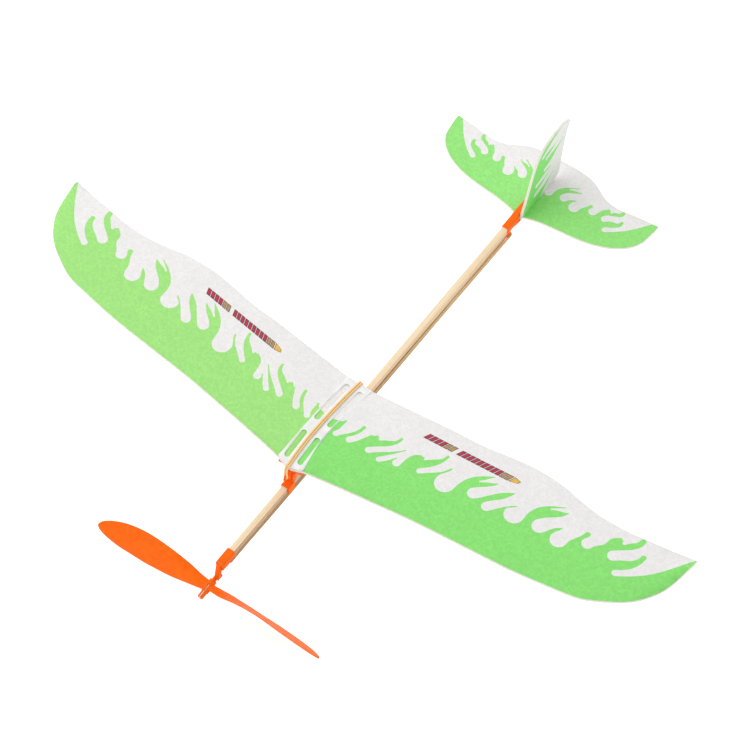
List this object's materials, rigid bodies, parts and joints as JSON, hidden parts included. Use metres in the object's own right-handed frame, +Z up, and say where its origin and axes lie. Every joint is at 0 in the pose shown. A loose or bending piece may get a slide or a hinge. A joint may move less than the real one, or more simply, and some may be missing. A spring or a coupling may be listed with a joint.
{
  "type": "rubber-powered model plane",
  "caption": "Rubber-powered model plane: wooden stick fuselage, cambered foam wing on a sliding plastic saddle, foam tail and a two-blade propeller driven by a twisted rubber loop.",
  "frame": {"origin": "centre of the bounding box in plan, on the lowest point of the propeller blades", "axes": "+X to the pilot's left wing tip, +Y from the propeller to the tail, +Z up along the fin"},
  "size_m": [0.4992, 0.4198, 0.0847],
  "materials": {
    "wood_stick": "bare sanded light wood",
    "moulded_plastic": "orange injection-moulded, satin gloss",
    "steel_wire": "bright drawn wire",
    "rubber_strip": "tan, lightly dusted",
    "white_plastic": "white, satin",
    "printed_foam": "foam sheet printed green and off-white, fine bead texture",
    "amber_band": "amber, slightly translucent",
    "tape": "double-sided tape"
  },
  "bodies": {
    "airframe": {"fuselage_stick": "wood_stick", "nose_block": "moulded_plastic", "thrust_washer": "moulded_plastic", "tail_mount": "moulded_plastic", "tailplane": "printed_foam", "fin": "printed_foam", "fin_tape": "tape", "tailplane_tape": "tape", "rubber_motor": "rubber_strip"},
    "propeller_unit": {"prop_shaft": "steel_wire", "propeller": "moulded_plastic"},
    "wing_unit": {"wing_saddle": "moulded_plastic", "wing_joiner": "white_plastic", "wing_port": "printed_foam", "wing_starboard": "printed_foam", "wing_band": "amber_band"}
  },
  "joints": [
    {"name": "prop_spin", "type": "hinge", "parent": "airframe", "child": "propeller_unit", "pos_m": [-0.0013, -0.19973, 0.01347], "axis": [0.0279, -0.9996, 0], "continuous": true, "deforming": ["rubber_motor"]},
    {"name": "wing_trim", "type": "slide", "parent": "airframe", "child": "wing_unit", "axis": [0, 1, 0], "range_m": [-0.053, 0.17]}
  ]
}
